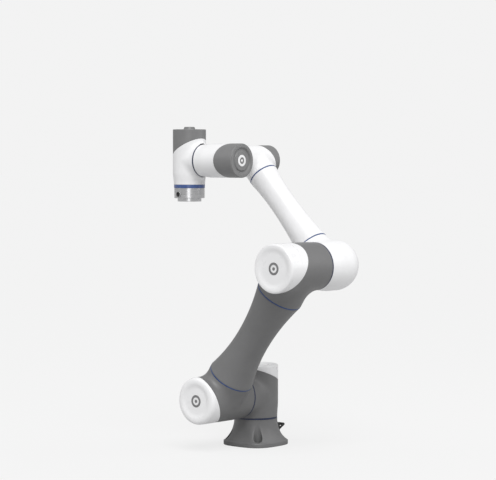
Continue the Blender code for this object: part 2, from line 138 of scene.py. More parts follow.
# Sizes: radius, ring radius, height and slope of the cover's seam, length and radius of the branch.
UNITS = [
    Unit(1, at_plane(SHOULDER, 0), Z_AXIS, -Y_AXIS, (0.0580, 0.0560, 0.0495, 0.40, 0.0690, 0.0588),
         ("shoulder_top_cover", "shoulder_housing"), 0.018, DISHED_FACE),
    Unit(2, at_plane(SHOULDER, UPPER_ARM_PLANE), -Y_AXIS, UPPER_ARM_WAY,
         (0.0600, 0.0592, 0.0474, 0.57, 0.0725, 0.0590),
         ("shoulder_side_cover", "upper_arm_lower_housing"), 0.022, ROUND_DISHED_FACE),
    Unit(3, at_plane(ELBOW, UPPER_ARM_PLANE), -Y_AXIS, -UPPER_ARM_WAY,
         (0.0610, 0.0600, 0.0505, 0.57, 0.0840, 0.0603),
         ("elbow_cover", "upper_arm_upper_housing"), 0.030, DISHED_FACE),
    Unit(4, at_plane(WRIST, FOREARM_PLANE), Y_AXIS, -FOREARM_WAY,
         (0.0395, 0.0407, 0.0280, 0.57, 0.0502, 0.0385),
         ("wrist_1_cover", "wrist_1_housing"), 0.011, GROOVED_FACE),
    Unit(5, at_plane(WRIST, TOOL_PLANE), X_AXIS, Y_AXIS,
         (0.0433, 0.0410, 0.0280, 0.57, 0.0451, 0.0410),
         ("wrist_2_cover", "wrist_2_housing"), 0.012, GROOVED_FACE),
    Unit(6, Vector((TOOL_AXIS.x, TOOL_PLANE, AXIS_POINT[5].z)), Z_AXIS, X_AXIS,
         (0.0425, 0.0400, 0.0327, 0.57, 0.0451, 0.0412),
         ("wrist_3_cover", "wrist_3_housing"), 0.014, RAISED_FACE, 0.00425, RAISED_CENTRE),
]

ELBOW_RADIUS = 0.0640
ELBOW_BRANCH_RADIUS = 0.0425
ELBOW_BRANCH_LENGTH = 0.0670
ELBOW_DOME = (0.030, 0.058)
ELBOW_FILLET = 0.020
UPPER_ARM_WAIST = (0.0424, 0.46)
FOREARM_WAIST = (0.0328, 0.62)


# ---- Surfaces meshed from a field ------------------------
def shape_of(points, faces):
    """New bmesh data from points and faces."""
    shape = bmesh.new()
    made = [shape.verts.new(point) for point in points]
    for face in faces:
        shape.faces.new([made[i] for i in face])
    return shape


def parts_of(shape):
    """Points and faces of bmesh data, which is freed."""
    shape.verts.index_update()
    points = np.array([vert.co[:] for vert in shape.verts])
    faces = [[vert.index for vert in face.verts] for face in shape.faces]
    shape.free()
    return points, faces


def field_slopes(field, points, step=1e-5):
    """Gradient of a field at each point."""
    return np.stack([(field(points + step * axis) - field(points - step * axis)) / (2 * step)
                     for axis in np.eye(3)], axis=-1)


def draw_onto(field, points, rounds):
    """Move points along the field's slope until they lie on its surface."""
    for _ in range(rounds):
        slopes = field_slopes(field, points)
        points = points - field(points)[:, None] * slopes / ((slopes ** 2).sum(1)[:, None] + 1e-9)
    return points


def relaxed(field, points, faces, rounds=3):
    """Even out the quads: move each point towards its neighbours' mean, then back to the surface."""
    pairs = np.concatenate([faces[:, [a, (a + 1) % 4]] for a in range(4)])
    pairs = np.concatenate([pairs, pairs[:, ::-1]])
    count = np.bincount(pairs[:, 0], minlength=len(points))[:, None]
    for _ in range(rounds):
        total = np.zeros_like(points)
        np.add.at(total, pairs[:, 0], points[pairs[:, 1]])
        points = draw_onto(field, 0.4 * points + 0.6 * total / np.maximum(count, 1), 2)
    return points


def net_surface(field, low, high, cell):
    """Surface nets: one point in each cell that the surface crosses, one quad across each crossed edge."""
    low, high = np.array(low, float), np.array(high, float)
    counts = np.ceil((high - low) / cell).astype(int) + 1
    lines = [low[i] + cell * np.arange(counts[i]) for i in range(3)]
    inside = field(np.stack(np.meshgrid(*lines, indexing="ij"), -1)) < 0
    total = sum(inside[a:counts[0] - 1 + a, b:counts[1] - 1 + b, c:counts[2] - 1 + c].astype(int)
                for a in (0, 1) for b in (0, 1) for c in (0, 1))
    crossed = (total > 0) & (total < 8)
    label = np.full(crossed.shape, -1)
    label[crossed] = np.arange(crossed.sum())
    points = draw_onto(field, low + cell * (np.argwhere(crossed) + 0.5), 4)
    faces = []
    for axis in range(3):
        first = [slice(None)] * 3
        after = [slice(None)] * 3
        first[axis], after[axis] = slice(None, -1), slice(1, None)
        start, end = inside[tuple(first)], inside[tuple(after)]
        edges = np.argwhere(start != end)
        u, v = (axis + 1) % 3, (axis + 2) % 3
        inner = ((edges[:, u] > 0) & (edges[:, u] < counts[u] - 1)
                 & (edges[:, v] > 0) & (edges[:, v] < counts[v] - 1))
        edges = edges[inner]
        corners = []
        for du, dv in ((-1, -1), (0, -1), (0, 0), (-1, 0)):
            cells = edges.copy()
            cells[:, u] += du
            cells[:, v] += dv
            corners.append(label[tuple(cells.T)])
        quads = np.stack(corners, axis=1)
        leaving = start[tuple(edges.T)]
        faces.append(np.where(leaving[:, None], quads, quads[:, ::-1]))
    faces = np.concatenate(faces)
    return relaxed(field, points, faces), faces


def clipped(points, faces, planes, merge=0.00015):
    """Cut a surface at planes given as (place, outward normal), keeping the side behind each one."""
    surface = shape_of(points, faces)
    for place, normal in planes:
        everything = surface.verts[:] + surface.edges[:] + surface.faces[:]
        bmesh.ops.bisect_plane(surface, geom=everything, dist=1e-7, plane_co=place, plane_no=normal,
                               clear_outer=True)
    bmesh.ops.remove_doubles(surface, verts=surface.verts, dist=merge)
    return parts_of(surface)


def shell(points, faces, normals, planes, wall):
    """A closed wall behind a surface whose open edges lie on planes, with a rounded lip at each edge."""
    used = dict.fromkeys(pair for face in faces for pair in zip(face, face[1:] + face[:1]))
    rim = [(a, b) for a, b in used if (b, a) not in used]
    rim_points = sorted({i for edge in rim for i in edge})
    here, facing = points[rim_points], normals[rim_points]
    spans = np.stack([np.abs((here - np.array(place)) @ np.array(normal)) for place, normal in planes])
    outward = np.array([normal for _, normal in planes])[spans.argmin(0)]
    inward = -(facing - (facing * outward).sum(1)[:, None] * outward)
    inward /= np.linalg.norm(inward, axis=1)[:, None]
    steps = [(LIP * sin(turn), LIP * (1 - cos(turn))) for turn in (pi / 6, pi / 3, pi / 2)]
    steps.append((LIP, 0.8 * wall))
    count = len(points)
    rows = [points, points - normals * wall]
    rows += [here + outward * along + inward * deep for along, deep in steps]
    starts = [2 * count + step * len(rim_points) for step in range(len(steps))]
    chain = {point: [point] + [start + place for start in starts] + [point + count]
             for place, point in enumerate(rim_points)}
    all_faces = [list(face) for face in faces] + [[i + count for i in reversed(face)] for face in faces]
    for a, b in rim:
        for step in range(len(steps) + 1):
            all_faces.append([chain[b][step], chain[a][step], chain[a][step + 1], chain[b][step + 1]])
    return np.concatenate(rows), all_faces


# ---- Turned surfaces -------------------------------------
def rounded(corners, steps=6):
    """An outline of (radius, height, rounding) corners, each rounding drawn as a smooth curve."""
    outline = []
    for i, (r, z, size) in enumerate(corners):
        if size == 0 or i in (0, len(corners) - 1):
            outline.append((r, z))
            continue
        here = Vector((r, z))
        before = (Vector(corners[i - 1][:2]) - here).normalized()
        after = (Vector(corners[i + 1][:2]) - here).normalized()
        for step in range(steps + 1):
            share = step / steps
            a = here + before * size * (1 - share) ** 2
            outline.append(tuple(a + after * size * share ** 2))
    return outline


def lathe(outline, turns):
    """Turn an outline (radius, height), which runs down the outer side, about Z: points and faces."""
    angles = 2 * pi * np.arange(turns) / turns
    ring = np.stack([np.cos(angles), np.sin(angles)], axis=1)
    points = np.zeros((len(outline), turns, 3))
    for row, (r, z) in enumerate(outline):
        points[row, :, :2] = r * ring
        points[row, :, 2] = z
    faces = []
    for row in range(len(outline) - 1):
        for turn in range(turns):
            after = (turn + 1) % turns
            faces.append([row * turns + turn, (row + 1) * turns + turn,
                          (row + 1) * turns + after, row * turns + after])
    return points.reshape(-1, 3), faces


def turned_normals(outline, points):
    """Outward normals of a turned surface, from the row of its outline that is nearest to each point."""
    outline = np.array(outline, float)
    tangent = np.gradient(outline, axis=0)
    across = np.stack([-tangent[:, 1], tangent[:, 0]], axis=1)
    across /= np.linalg.norm(across, axis=1)[:, None] + 1e-12
    reach = np.linalg.norm(points[:, :2], axis=1)
    flat = np.stack([reach, points[:, 2]], axis=1)
    nearest = ((flat[:, None] - outline[None]) ** 2).sum(-1).argmin(1)
    way = points[:, :2] / np.maximum(reach, 1e-9)[:, None]
    return np.concatenate([across[nearest, :1] * way, across[nearest, 1:]], axis=1)


def turned_solid(corners, turns):
    """Closed turned solid from a looped outline of (radius, height, rounding) corners."""
    outline = rounded(corners + [corners[0]])[:-1]
    points, faces = lathe(outline, turns)
    last = (len(outline) - 1) * turns
    for turn in range(turns):
        after = (turn + 1) % turns
        faces.append([last + turn, turn, after, last + after])
    return points, faces


# ---- Pieces ----------------------------------------------
def add_piece(name, points, faces, matrix, node, material, replaced=None):
    """A mesh piece in world coordinates that rides on a node's body and stands for the node."""
    mesh = bpy.data.meshes.new(name)
    mesh.from_pydata([tuple(point) for point in points], [], [list(face) for face in faces])
    mesh.transform(matrix)
    tidy = bmesh.new()
    tidy.from_mesh(mesh)
    bmesh.ops.remove_doubles(tidy, verts=tidy.verts, dist=0.00001)
    bmesh.ops.dissolve_degenerate(tidy, edges=tidy.edges, dist=0.000005)
    tidy.to_mesh(mesh)
    tidy.free()
    mesh.shade_smooth()
    mesh.set_sharp_from_angle(angle=SHARP_ANGLE)
    mesh.materials.append(material)
    piece = bpy.data.objects.new(name, mesh)
    bpy.context.scene.collection.objects.link(piece)
    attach(piece, BODY_OF[node])
    for gone in ([node] if replaced is None else replaced):
        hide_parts(gone)
    return piece


def blended(first, second, first_slopes, second_slopes, size):
    """Union of two fields with a fillet that fades out where their surfaces run side by side."""
    agree = (first_slopes * second_slopes).sum(-1)
    reach = size * np.clip(1 - agree ** 2, 0, 1) + 1e-6
    near = np.maximum(reach - np.abs(first - second), 0) / reach
    return np.minimum(first, second) - near ** 2 * reach / 4


def smooth_ramp(value, start, end):
    """0 below start, 1 above end and an even curve between."""
    share = np.clip((value - start) / (end - start), 0, 1)
    return share * share * (3 - 2 * share)


def casting_field(radius, ring_radius, bottom, branch_radius, branch_length, fillet, dome=None):
    """Round barrel along Z with a branch along +X; a dome (start, height) closes the barrel's top."""
    start_x = 0.35 * radius

    def field(p):
        x, y, z = p[..., 0], p[..., 1], p[..., 2]
        size = ring_radius + (radius - ring_radius) * smooth_ramp(z, bottom, bottom + 0.7 * radius)
        if dome:
            squeezed = np.where(z > dome[0], (z - dome[0]) * radius / dome[1], 0)
        else:
            squeezed = np.zeros_like(z)
        reach = np.sqrt(x * x + y * y + squeezed * squeezed) + 1e-9
        barrel = reach - size
        barrel_slopes = np.stack([x / reach, y / reach, squeezed / reach], -1)
        behind = np.minimum(x - start_x, 0)
        arm = np.sqrt(behind * behind + y * y + z * z) + 1e-9
        waist = 1 - 0.02 * np.sin(np.clip((x - start_x) / (branch_length - start_x), 0, 1) * pi)
        branch = arm - branch_radius * waist
        branch_slopes = np.stack([behind / arm, y / arm, z / arm], -1)
        return blended(barrel, branch, barrel_slopes, branch_slopes, fillet)

    return field


def casting(name, node, matrix, field, planes, low, high, cell, material):
    """Mesh a casting's outer surface, cut it at its seams and give it a wall."""
    points, faces = net_surface(field, low, high, cell)
    cut_planes = [(Vector(place) - LIP * Vector(normal), normal) for place, normal in planes]
    points, faces = clipped(points, faces, cut_planes)
    slopes = field_slopes(field, points)
    normals = slopes / np.linalg.norm(slopes, axis=1)[:, None]
    points, faces = shell(points, faces, normals, cut_planes, CAST_WALL)
    add_piece(name, points, faces, matrix, node, material)


def seam_plane(unit, side):
    """Slanted seam of a unit's cover: side +1 faces the cover, -1 faces the casting."""
    up = Vector((-unit.slope, 0, 1)).normalized()
    return Vector((0, 0, unit.split)) - side * SEAM * up, side * up


def housing(unit, material):
    """The T-shaped casting of a joint unit."""
    field = casting_field(unit.radius, unit.ring_radius, unit.bottom, unit.branch_radius,
                          unit.branch_length, unit.fillet)
    planes = [(Vector((0, 0, unit.bottom)), -Z_AXIS), (Vector((unit.branch_length, 0, 0)), X_AXIS),
              seam_plane(unit, 1)]
    wide = unit.radius + 0.006
    margin = 0.008
    top = unit.split + unit.slope * unit.radius + margin
    casting(unit.housing + "_casting", unit.housing, unit.matrix, field, planes,
            (-wide, -wide, unit.bottom - margin), (unit.branch_length + margin, wide, top),
            BIG_CELL if unit.large else SMALL_CELL, material)


def elbow(material):
    """The domed casting that turns on joint 3 and carries the forearm tube."""
    across = Y_AXIS.cross(FOREARM_WAY)
    matrix = (Matrix.Translation(at_plane(ELBOW, FOREARM_PLANE))
              @ Matrix((FOREARM_WAY, across, Y_AXIS)).transposed().to_4x4())
    ring_radius = UNITS[2].ring_radius
    bottom = AXIS_POINT[3].y - FOREARM_PLANE + SEAL_HALF + SEAM
    field = casting_field(ELBOW_RADIUS, ring_radius, bottom, ELBOW_BRANCH_RADIUS, ELBOW_BRANCH_LENGTH,
                          ELBOW_FILLET, ELBOW_DOME)
    planes = [(Vector((0, 0, bottom)), -Z_AXIS), (Vector((ELBOW_BRANCH_LENGTH, 0, 0)), X_AXIS)]
    wide = ELBOW_RADIUS + 0.006
    margin = 0.008
    casting("elbow_housing_casting", "elbow_housing", matrix, field, planes, (-wide, -wide, bottom - margin),
            (ELBOW_BRANCH_LENGTH + margin, wide, sum(ELBOW_DOME) + 0.007), BIG_CELL, material)


def thin_turned(name, node, matrix, outline, planes, wall, material):
    """A turned sheet cut at planes and given a wall with rounded lips."""
    cut_planes = [(Vector(place) - LIP * Vector(normal), normal) for place, normal in planes]
    points, faces = lathe(outline, TURNS)
    points, faces = clipped(points, faces, cut_planes, 0.00002)
    points, faces = shell(points, faces, turned_normals(outline, points), cut_planes, wall)
    add_piece(name, points, faces, matrix, node, material)


def divided(outline, steps):
    """The same outline with its last stretch divided into equal steps."""
    (r, z), (end_r, end_z) = outline[-2:]
    shares = [step / steps for step in range(1, steps + 1)]
    return outline[:-1] + [(r + (end_r - r) * share, z + (end_z - z) * share) for share in shares]


def cover(unit, material):
    """The cup that closes a joint unit, down to its slanted seam."""
    skirt = unit.split - unit.slope * unit.radius - 0.006
    corners = [(share * unit.radius, unit.rim + height, size) for share, height, size in unit.face]
    outline = divided(rounded(corners + [(unit.radius, skirt, 0)], 8), 24)
    thin_turned(unit.cover + "_shell", unit.cover, unit.matrix, outline, [seam_plane(unit, -1)],
                COVER_WALL, material)


def axis_matrix(point, way):
    """World matrix whose Z runs along a direction."""
    return Matrix.Translation(point) @ Z_AXIS.rotation_difference(way).to_matrix().to_4x4()


def tube(link, start_point, way, start_radius, waist, end_radius, material):
    """A waisted arm tube and its two trim rings; waist is (radius, share of the length)."""
    matrix = axis_matrix(start_point, way)
    start, end = ((middle(link + side) - start_point).dot(way) for side in ("_lower_trim", "_upper_trim"))
    low, high = start + TRIM_HALF + SEAM, end - TRIM_HALF - SEAM
    waist_radius, waist_share = waist
    waist_height = low + waist_share * (high - low)
    rows = 64
    outline = []
    for row in range(rows + 1):
        height = high + (low - high) * row / rows
        far, size = (high, end_radius) if height > waist_height else (low, start_radius)
        away = (height - waist_height) / (far - waist_height)
        outline.append((waist_radius + (size - waist_radius) * away ** 2, height))
    planes = [(Vector((0, 0, high)), Z_AXIS), (Vector((0, 0, low)), -Z_AXIS)]
    thin_turned(link + "_tube_casting", link + "_tube", matrix, outline, planes, CAST_WALL, material)
    for side, height, size in (("_lower_trim", start, start_radius), ("_upper_trim", end, end_radius)):
        ring(link + side + "_ring", link + side, matrix, height, TRIM_HALF, size - 0.0050, size,
             FINISH["trim_blue"])


def ring(name, node, matrix, height, half, inner, outer, material):
    """A ring in a seam: slightly sunk, with its outer edges rounded."""
    outer -= RING_SUNK
    corners = [(inner, height + half, 0.0002), (outer, height + half, 0.0005),
               (outer, height - half, 0.0005), (inner, height - half, 0.0002)]
    points, faces = turned_solid(corners, TURNS)
    add_piece(name, points, faces, matrix, node, material)


def seal(unit):
    """The ring in a unit's moving seam; on the last joint it is the status light."""
    node = "status_light_ring" if unit.number == 6 else f"joint_{unit.number}_seal"
    ring(node + "_ring", node, unit.matrix, unit.ring_z, unit.ring_half, unit.ring_radius - 0.0035,
         unit.ring_radius, FINISH[SLOT_OF[node]])


def inlay(unit, outer, inner, centre, height, material):
    """The plain mark in the middle of a cover: a shallow ring with a soft edge round a small button."""
    top, bottom = unit.rim + height + 0.0006, unit.rim + height - 0.0012
    points, faces = turned_solid([(inner, top, 0.0004), (outer, top, 0.0005), (outer, bottom, 0),
                                  (inner, bottom, 0)], 96)
    add_piece(unit.cover + "_inlay_ring", points, faces, unit.matrix, unit.cover, material, replaced=())
    outline = rounded([(0, top, 0), (centre, top, 0.0005), (centre, bottom, 0), (0, bottom, 0)], 5)
    points, faces = lathe(outline, 48)
    add_piece(unit.cover + "_inlay_button", points, faces, unit.matrix, unit.cover, material, replaced=())


# ---- Base ------------------------------------------------
NECK_RADIUS = 0.056
NECK_TOP = 0.0692
FLARE_GROWTH = 0.026
FLARE_START = 0.0112
FOOT_GROWTH = 0.0020
FOOT_EDGE = 0.0022
BOLT_CIRCLE = 0.0675
BOLT_HOLE_RADIUS = 0.0048
POCKET_RADIUS = 0.0114
POCKET_FLOOR = 0.0100
BORE_RADIUS = 0.0524
BORE_FLOOR = 0.0140


def smooth_least(first, second, size):
    """The smaller of two fields, with the crease between them rounded."""
    near = np.maximum(size - np.abs(first - second), 0) / size
    return np.minimum(first, second) - near ** 2 * size / 4


def smooth_cut(body, tool, size):
    """Body with a tool taken away, with the edge between them rounded."""
    return -smooth_least(-body, tool, size)


def base_field(p):
    """Round neck that flares into a rounded-square foot, with four bolt pockets at its corners."""
    x, y, z = p[..., 0], p[..., 1], p[..., 2]
    flare = np.clip((NECK_TOP - z) / (NECK_TOP - FLARE_START), 0, 1)
    corner = NECK_RADIUS + FLARE_GROWTH * flare ** 2.2
    square = 2 + 1.2 * flare ** 1.8
    slab = smooth_ramp(z, FLARE_START + 0.0022, FLARE_START - 0.0006)
    corner = corner + FOOT_GROWTH * slab
    half_side = corner / 2 ** (0.5 - 1 / square)
    reach = np.sqrt(x * x + y * y) + 1e-9
    spread = (np.abs(x / reach) ** square + np.abs(y / reach) ** square) ** (1 / square)
    side = (reach - half_side / spread) * 0.9
    body = -smooth_least(-side, z, FOOT_EDGE)
    spot = BOLT_CIRCLE * sqrt(0.5)
    away = np.sqrt((np.abs(x) - spot) ** 2 + (np.abs(y) - spot) ** 2)
    pocket = away - POCKET_RADIUS + 0.009 * (z - POCKET_FLOOR)
    pocket = -smooth_least(-pocket, z - POCKET_FLOOR, 0.0012)
    body = smooth_cut(body, pocket, 0.0016)
    body = smooth_cut(body, away - BOLT_HOLE_RADIUS, 0.0006)
    bore = -smooth_least(BORE_RADIUS - reach, z - BORE_FLOOR, 0.001)
    return np.maximum(body, -bore)


def base_casting(material):
    """The foot with its pockets, bolt holes and bore, closed by a flat ring between the neck's rims."""
    wide, margin = 0.095, 0.006
    points, faces = net_surface(base_field, (-wide, -wide, -0.004), (wide, wide, NECK_TOP + margin),
                                BASE_CELL)
    points, faces = clipped(points, faces, [(Vector((0, 0, NECK_TOP)), Z_AXIS)])
    cap = shape_of(points, faces)
    bmesh.ops.bridge_loops(cap, edges=[edge for edge in cap.edges if edge.is_boundary])
    points, faces = parts_of(cap)
    add_piece("base_casting", points, faces, Matrix(), "base_housing", material)


# ---- Carved solids ---------------------------------------
def beveled_box(size, centre, width, segments=3):
    """Mesh data of a box with rounded edges."""
    shape = bmesh.new()
    bmesh.ops.create_cube(shape, size=1.0, matrix=Matrix.Translation(centre) @ Matrix.Diagonal((*size, 1)))
    bmesh.ops.bevel(shape, geom=shape.edges[:], offset=width, segments=segments, profile=0.5,
                    affect="EDGES")
    return shape


def solid_mesh(name, shape):
    """A mesh made from bmesh data."""
    mesh = bpy.data.meshes.new(name)
    shape.to_mesh(mesh)
    shape.free()
    return mesh


def carved(mesh, cutters, operation="DIFFERENCE"):
    """Mesh with the cutter meshes taken away or joined on."""
    body = bpy.data.objects.new("carved_body", mesh)
    bpy.context.scene.collection.objects.link(body)
    tools = []
    for index, cutter in enumerate(cutters):
        tool = bpy.data.objects.new(f"carving_tool_{index}", cutter)
        bpy.context.scene.collection.objects.link(tool)
        tools.append(tool)
        step = body.modifiers.new(tool.name, "BOOLEAN")
        step.operation = operation
        step.object = tool
        step.solver = "EXACT"
    bpy.context.view_layer.update()
    made = bpy.data.meshes.new_from_object(body.evaluated_get(bpy.context.evaluated_depsgraph_get()))
    for used in [body] + tools:
        bpy.data.objects.remove(used)
    return made


def joined_mesh(points, faces, matrix):
    """Closed mesh from turned points, placed by a matrix."""
    shape = shape_of(points, faces)
    bmesh.ops.remove_doubles(shape, verts=shape.verts, dist=1e-6)
    bmesh.ops.transform(shape, matrix=matrix, verts=shape.verts)
    return solid_mesh("joined", shape)


def rod_mesh(radius, low, high, matrix, turns=32):
    """Mesh of a plain round cutter along its matrix's Z."""
    return joined_mesh(*lathe([(0, high), (radius, high), (radius, low), (0, low)], turns), matrix)


def mesh_data(mesh):
    """Points and faces of a mesh."""
    return [vert.co[:] for vert in mesh.vertices], [list(face.vertices) for face in mesh.polygons]


def turned_mesh(corners, turns):
    """Closed turned mesh from a looped outline."""
    points, faces = turned_solid(corners, turns)
    mesh = bpy.data.meshes.new("turned")
    mesh.from_pydata([tuple(point) for point in points], [], faces)
    return mesh


# ---- Connector and lever ---------------------------------
LEVER_ARM = 0.0235
LEVER_RISE = radians(28)
PIN_OUTLINE = [(0, 0.0072, 0), (0.0006, 0.0072, 0.0003), (0.0009, 0.0060, 0.0002), (0.0009, -0.0006, 0),
               (0, -0.0006, 0)]
PIN_PITCH = (0.0045, 0.0060)
PIN_FLOOR = 0.0118


def add_pin(name, outline, matrix, node, turns):
    """A small turned metal contact that belongs to a node."""
    points, faces = lathe(rounded(outline, 3), turns)
    pin = add_piece(name, points, faces, matrix, node, FINISH["gear_steel"], replaced=())


def connector(material):
    """The supply and signal connector: a moulded shroud with a stepped mouth and rows of pins."""
    low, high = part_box("base_connector")
    centre, size = (low + high) / 2, high - low
    body = solid_mesh("shroud", beveled_box(size, centre, 0.0014))
    mouth = Vector((0, high.y, centre.z))
    deep = solid_mesh("mouth", beveled_box((0.0206, 0.0236, 0.0226), mouth, 0.0016))
    step = solid_mesh("mouth_step", beveled_box((0.0236, 0.0040, 0.0262), mouth, 0.0006, 1))
    seats = [rod_mesh(0.0024, -0.01, 0.0042, Matrix.Translation((side * size.x / 2, *PIVOT[1:]))
                      @ Matrix.Rotation(-side * pi / 2, 4, "Y")) for side in (-1, 1)]
    grooves = [solid_mesh("groove", beveled_box((size.x + 0.01, 0.0009, 0.0009),
                                                Vector((0, high.y - 0.0035, height)), 0.0002, 1))
               for height in (low.z, high.z)]
    body = carved(body, [deep, step] + seats + grooves)
    add_piece("connector_shroud", *mesh_data(body), Matrix(), "base_connector", material)
    for row in range(3):
        for column in range(4):
            x, z = (column - 1.5) * PIN_PITCH[0], centre.z + (row - 1) * PIN_PITCH[1]
            matrix = Matrix.Translation((x, high.y - PIN_FLOOR, z)) @ Matrix.Rotation(-pi / 2, 4, "X")
            add_pin(f"connector_pin_{row + 1}_{column + 1}", PIN_OUTLINE, matrix, "base_connector", 16)


def lever(material):
    """The locking lever: two flat arms and a ribbed cross bar with rounded edges."""
    low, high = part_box("connector_lever")
    half = (high.x - low.x) / 2
    turn = Matrix.Translation(PIVOT) @ Matrix.Rotation(LEVER_RISE, 4, "X")
    bar = solid_mesh("bar", beveled_box((2 * half, 0.0060, 0.0060), Vector((0, LEVER_ARM, 0)), 0.0012))
    parts = []
    for side in (-1, 1):
        arm = beveled_box((0.0025, LEVER_ARM + 0.0060, 0.0058),
                          Vector((side * (half - 0.00125), LEVER_ARM / 2 - 0.0020, 0)), 0.0008, 2)
        parts.append(solid_mesh("arm", arm))
        parts.append(rod_mesh(0.0020, -0.0042, -0.0005, Matrix.Translation((side * half, 0, 0))
                              @ Matrix.Rotation(side * pi / 2, 4, "Y")))
    body = carved(bar, parts, "UNION")
    ribs = [solid_mesh("rib", beveled_box((0.0010, 0.0100, 0.0009),
                                          Vector(((index - 3) * 0.0036, LEVER_ARM, 0.0031)), 0.0002, 1))
            for index in range(7)]
    body = carved(body, ribs)
    add_piece("lever_bar", *mesh_data(body), turn, "connector_lever", material)


# ---- Tool end --------------------------------------------
FLANGE_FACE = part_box("tool_flange_plate")[0].z
FLANGE_MATRIX = Matrix.Translation((TOOL_AXIS.x, TOOL_AXIS.y, FLANGE_FACE))
FLANGE_RADIUS = 0.0305
FLANGE_THICK = 0.0130
HUB_RADIUS = 0.0248
HUB_BORE = 0.0080
RECESS_RADIUS = 0.01575
RECESS_DEPTH = 0.0060
FLANGE_BOLT_CIRCLE = 0.025
SLEEVE_BORE = 0.0311
SOCKET_WAY = radians(-94)
SOCKET_HEIGHT = 0.0185
SOCKET_RADIUS = 0.0084
SOCKET_BACK = 0.0349
SOCKET_FACE = 0.0405
SOCKET_MATRIX = (Matrix.Rotation(SOCKET_WAY, 4, "Z") @ Matrix.Translation((0, 0, SOCKET_HEIGHT))
                 @ Matrix.Rotation(pi / 2, 4, "Y"))


def flange_plate(material):
    """The plate that tools bolt to: four countersunk holes, a dowel hole and a centring recess."""
    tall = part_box("tool_flange_plate")[1].z - FLANGE_FACE
    plate = turned_mesh([(HUB_BORE, tall, 0.0004), (HUB_RADIUS, tall, 0.0006),
                         (HUB_RADIUS, FLANGE_THICK, 0.0004), (FLANGE_RADIUS, FLANGE_THICK, 0.0006),
                         (FLANGE_RADIUS, 0.0, 0.0008), (RECESS_RADIUS, 0.0, 0.0006),
                         (RECESS_RADIUS, RECESS_DEPTH, 0.0003), (HUB_BORE, RECESS_DEPTH, 0.0003)],
                        128)
    holes = []
    for quarter in range(4):
        spot = (Matrix.Rotation(radians(45 + 90 * quarter), 4, "Z")
                @ Matrix.Translation((FLANGE_BOLT_CIRCLE, 0, 0)))
        holes.append(rod_mesh(0.0025, -0.005, 0.010, spot))
        points, faces = lathe([(0, 0.0002), (0.0026, 0.0002), (0.0034, -0.0006), (0, -0.0006)], 32)
        holes.append(joined_mesh(points, faces, spot))
    holes.append(rod_mesh(0.0030, -0.005, 0.008, Matrix.Translation((0, -FLANGE_BOLT_CIRCLE, 0))))
    plate = carved(plate, holes)
    add_piece("flange_plate_turned", *mesh_data(plate), FLANGE_MATRIX, "tool_flange_plate", material)


def flange_sleeve(material):
    """The sleeve round the flange, with a fine turned groove and the socket's seat."""
    low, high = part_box("flange_sleeve")
    top, bottom = high.z - FLANGE_FACE, low.z - FLANGE_FACE
    outer = (high.x - low.x) / 2
    sleeve = turned_mesh([(SLEEVE_BORE, top, 0.0004), (outer, top, 0.0004), (outer, bottom, 0.0012),
                          (SLEEVE_BORE, bottom, 0.0005)], 144)
    seat = rod_mesh(0.0088, 0.0345, 0.05, SOCKET_MATRIX, 48)
    groove = turned_mesh([(outer - 0.0004, 0.0118, 0), (outer + 0.001, 0.0118, 0),
                          (outer + 0.001, 0.0110, 0), (outer - 0.0004, 0.0110, 0)], 144)
    sleeve = carved(sleeve, [seat, groove])
    add_piece("flange_sleeve_turned", *mesh_data(sleeve), FLANGE_MATRIX, "flange_sleeve", material)


def tool_socket(metal, plastic):
    """The round signal socket: a metal ring, a moulded insert and eight contacts."""
    matrix = FLANGE_MATRIX @ SOCKET_MATRIX
    ring_corners = [(0.0066, SOCKET_FACE, 0.0003), (SOCKET_RADIUS, SOCKET_FACE, 0.0005),
                    (SOCKET_RADIUS, SOCKET_BACK, 0.0003), (0.0066, SOCKET_BACK, 0.0003)]
    add_piece("socket_ring", *turned_solid(ring_corners, 64), matrix, "tool_socket", metal)
    insert = [(0, 0.0387, 0), (0.0030, 0.0387, 0.0004), (0.0036, 0.0376, 0.0003), (0.0062, 0.0376, 0.0003),
              (0.0064, SOCKET_BACK, 0), (0, SOCKET_BACK, 0)]
    points, faces = lathe(rounded(insert, 4), 48)
    add_piece("socket_insert", points, faces, matrix, "tool_socket", plastic, replaced=())
    contact = [(0, 0.0392, 0), (0.0005, 0.0392, 0.0002), (0.0005, 0.0370, 0), (0, 0.0370, 0)]
    for index in range(8):
        turn = Matrix.Rotation(2 * pi * index / 8, 4, "Z") @ Matrix.Translation((0.0047, 0, 0))
        add_pin(f"socket_pin_{index + 1}", contact, matrix @ turn, "tool_socket", 12)


